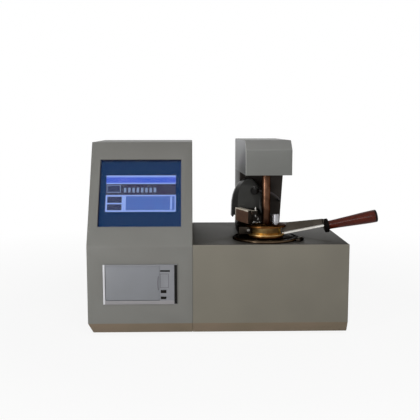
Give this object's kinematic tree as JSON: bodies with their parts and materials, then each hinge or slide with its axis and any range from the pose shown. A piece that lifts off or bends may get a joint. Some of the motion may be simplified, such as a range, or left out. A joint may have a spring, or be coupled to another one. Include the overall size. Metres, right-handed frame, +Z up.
{
  "type": "flash point tester",
  "caption": "Bench instrument with a leaning touch screen console, a panel printer, and a furnace whose lifting arm lowers a lid onto a brass cup with a wooden handle.",
  "frame": {"origin": "middle of the footprint, on the bench that the rubber feet stand on", "axes": "+X to the instrument's right, from the console to the furnace cabinet; +Y from its front to its back; +Z up"},
  "size_m": [0.6358, 0.3468, 0.4185],
  "materials": {
    "case_paint": "fine textured enamel",
    "panel_steel": "fine textured enamel",
    "arch_paint": "smooth enamel",
    "steel": "brushed",
    "dark_steel": "blackened",
    "polished_steel": "mirror polished",
    "screw_zinc": "zinc plated",
    "aluminium": "knurled and satin",
    "brass": "turned and polished",
    "copper": "drawn copper tube, polished",
    "glass": "clear",
    "black_plastic": "moulded",
    "printer_plastic": "moulded",
    "door_plastic": "moulded",
    "board_laminate": "lacquered laminate",
    "paper": "plain thermal paper",
    "platen_rubber": "ground",
    "foot_rubber": "moulded",
    "lead_rubber": "smooth sheath",
    "heater_mica": "band heater jacket",
    "insulation": "fibre board",
    "wood": "turned and lacquered"
  },
  "bodies": {
    "cabinets": {"console_shell": "case_paint", "console_base": "case_paint", "cabinet_shell": "case_paint", "cabinet_base": "case_paint", "console_rear_panel": "panel_steel", "cabinet_rear_panel": "panel_steel", "screen_glass": "glass", "screen_module": "black_plastic", "screen_tray": "steel", "control_board": "board_laminate", "power_supply": "aluminium", "printer_housing": "printer_plastic", "roll_spindle": "steel", "mains_inlet": "black_plastic", "rubber_feet": "foot_rubber", "case_screws": "screw_zinc", "fan_frame": "black_plastic", "furnace_flange": "polished_steel", "cup_seat_ring": "brass", "furnace_block": "aluminium", "heater_band": "heater_mica", "furnace_insulation": "insulation", "furnace_can": "steel", "handle_rest": "dark_steel", "lift_plates": "steel", "guide_rods": "steel", "lift_motor": "dark_steel"},
    "lift_arm": {"arm_shell": "case_paint", "head_floor": "panel_steel", "arm_beam": "steel", "arm_mast": "steel", "lift_carriage": "aluminium", "drive_tube": "copper", "stirrer_motor": "dark_steel", "lid_body": "brass", "temperature_probe": "aluminium", "shutter_drive": "dark_steel", "igniter_module": "polished_steel", "arch_housing": "arch_paint", "cable_plug": "black_plastic", "arm_leads": "lead_rubber", "lead_glands": "black_plastic"},
    "test_cup": {"test_cup": "brass", "cup_shank": "steel", "grip_collar": "black_plastic", "wood_grip": "wood", "grip_cap": "black_plastic"},
    "stirrer": {"stirrer_shaft": "steel", "stirrer_coupling": "brass"},
    "lid_shutter": {"lid_shutter": "brass"},
    "shutter_crank": {"shutter_crank": "steel"},
    "igniter_rod": {"igniter_rod": "steel"},
    "lead_screw": {"lead_screw": "steel"},
    "printer_door": {"printer_door": "door_plastic"},
    "paper_roll": {"paper_roll": "paper"},
    "platen_roller": {"platen_roller": "platen_rubber"},
    "feed_button": {"feed_button": "black_plastic"},
    "select_button": {"select_button": "black_plastic"},
    "power_rocker": {"power_rocker": "black_plastic"},
    "fan_rotor": {"fan_rotor": "black_plastic"}
  },
  "joints": [
    {"name": "arm_lift", "type": "slide", "parent": "cabinets", "child": "lift_arm", "axis": [0, 0, 1], "range_m": [0, 0.12]},
    {"name": "lead_screw_turn", "type": "hinge", "parent": "cabinets", "child": "lead_screw", "pos_m": [0.06277, 0.06306, 0.04], "axis": [0, 0, 1], "range_deg": [0, 5400]},
    {"name": "cup_lift", "type": "slide", "parent": "cabinets", "child": "test_cup", "axis": [0, 0, 1], "range_m": [0, 0.06]},
    {"name": "stirrer_turn", "type": "hinge", "parent": "lift_arm", "child": "stirrer", "pos_m": [0.06793, -0.08485, 0.231], "axis": [0, 0, 1], "continuous": true},
    {"name": "shutter_turn", "type": "hinge", "parent": "lift_arm", "child": "lid_shutter", "pos_m": [0.06793, -0.08485, 0.2312], "axis": [0, 0, 1], "range_deg": [0, 40], "stiffness_Nm_per_rad": 0.05, "springref_deg": -28.65},
    {"name": "crank_turn", "type": "hinge", "parent": "lift_arm", "child": "shutter_crank", "pos_m": [0.03011, -0.0553, 0.2329], "axis": [0, 0, 1], "range_deg": [-32, 0]},
    {"name": "igniter_dip", "type": "slide", "parent": "lift_arm", "child": "igniter_rod", "axis": [0, 0, -1], "range_m": [0, 0.014]},
    {"name": "printer_door_hinge", "type": "hinge", "parent": "cabinets", "child": "printer_door", "pos_m": [-0.22177, -0.1696, 0.08295], "axis": [1, 0, 0], "range_deg": [0, 80]},
    {"name": "paper_roll_turn", "type": "hinge", "parent": "cabinets", "child": "paper_roll", "pos_m": [-0.22177, -0.13485, 0.1102], "axis": [1, 0, 0], "continuous": true},
    {"name": "platen_turn", "type": "hinge", "parent": "cabinets", "child": "platen_roller", "pos_m": [-0.22177, -0.15485, 0.1451], "axis": [1, 0, 0], "continuous": true},
    {"name": "feed_button_press", "type": "slide", "parent": "cabinets", "child": "feed_button", "axis": [0, 1, 0], "range_m": [0, 0.001], "stiffness_N_per_m": 600, "springref_m": -0.001},
    {"name": "select_button_press", "type": "slide", "parent": "cabinets", "child": "select_button", "axis": [0, 1, 0], "range_m": [0, 0.001], "stiffness_N_per_m": 600, "springref_m": -0.001},
    {"name": "power_rocker_tilt", "type": "hinge", "parent": "cabinets", "child": "power_rocker", "pos_m": [-0.26137, 0.16795, 0.093], "axis": [1, 0, 0], "range_deg": [0, 16]},
    {"name": "fan_turn", "type": "hinge", "parent": "cabinets", "child": "fan_rotor", "pos_m": [0.06793, 0.15715, 0.104], "axis": [0, 1, 0], "continuous": true}
  ],
  "couplings": [
    {"joint": "lead_screw_turn", "follows": "arm_lift", "rad_per_m": 785.4},
    {"joint": "cup_lift", "follows": "arm_lift", "ratio": 0.5},
    {"joint": "crank_turn", "follows": "shutter_turn", "ratio": -0.8},
    {"joint": "igniter_dip", "follows": "shutter_turn", "m_per_rad": 0.02005}
  ]
}
